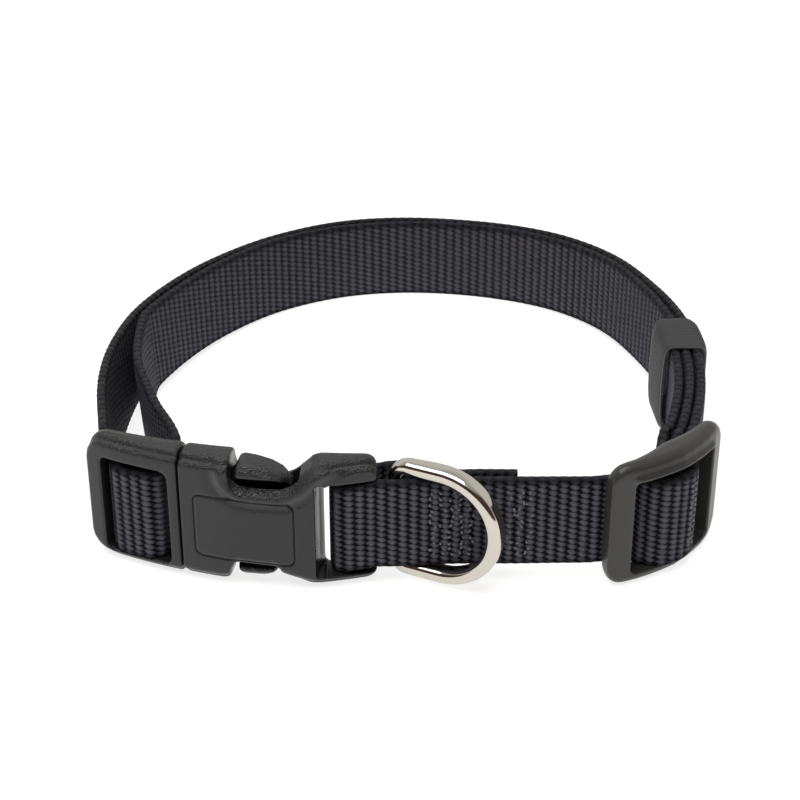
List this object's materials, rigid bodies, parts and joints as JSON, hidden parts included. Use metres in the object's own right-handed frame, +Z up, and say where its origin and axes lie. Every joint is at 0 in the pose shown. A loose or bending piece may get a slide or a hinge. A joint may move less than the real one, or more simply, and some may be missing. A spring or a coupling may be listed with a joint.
{
  "type": "dog collar",
  "caption": "Adjustable webbing dog collar, closed, with a side-release buckle, a D-ring, a slide and a keeper loop.",
  "frame": {"origin": "middle of the collar's plan, on the surface it stands on", "axes": "+Z up through the neck opening, -Y towards the buckle, +X towards the slide"},
  "size_m": [0.139, 0.1462, 0.03],
  "materials": {
    "webbing": "woven herringbone, dull",
    "buckle_plastic": "fine grained",
    "slide_plastic": "fine grained",
    "keeper_elastic": "ribbed",
    "ring_metal": "bright nickel plate"
  },
  "bodies": {
    "collar": {"strap": "webbing", "buckle_socket": "buckle_plastic", "buckle_prongs": "buckle_plastic", "slide": "slide_plastic", "keeper": "keeper_elastic"},
    "ring": {"d_ring": "ring_metal"}
  },
  "joints": [
    {"name": "ring_hinge", "type": "hinge", "parent": "collar", "child": "ring", "pos_m": [-0.00217, -0.06171, 0.0145], "axis": [0, 0, 1], "range_deg": [-80, 0]}
  ]
}
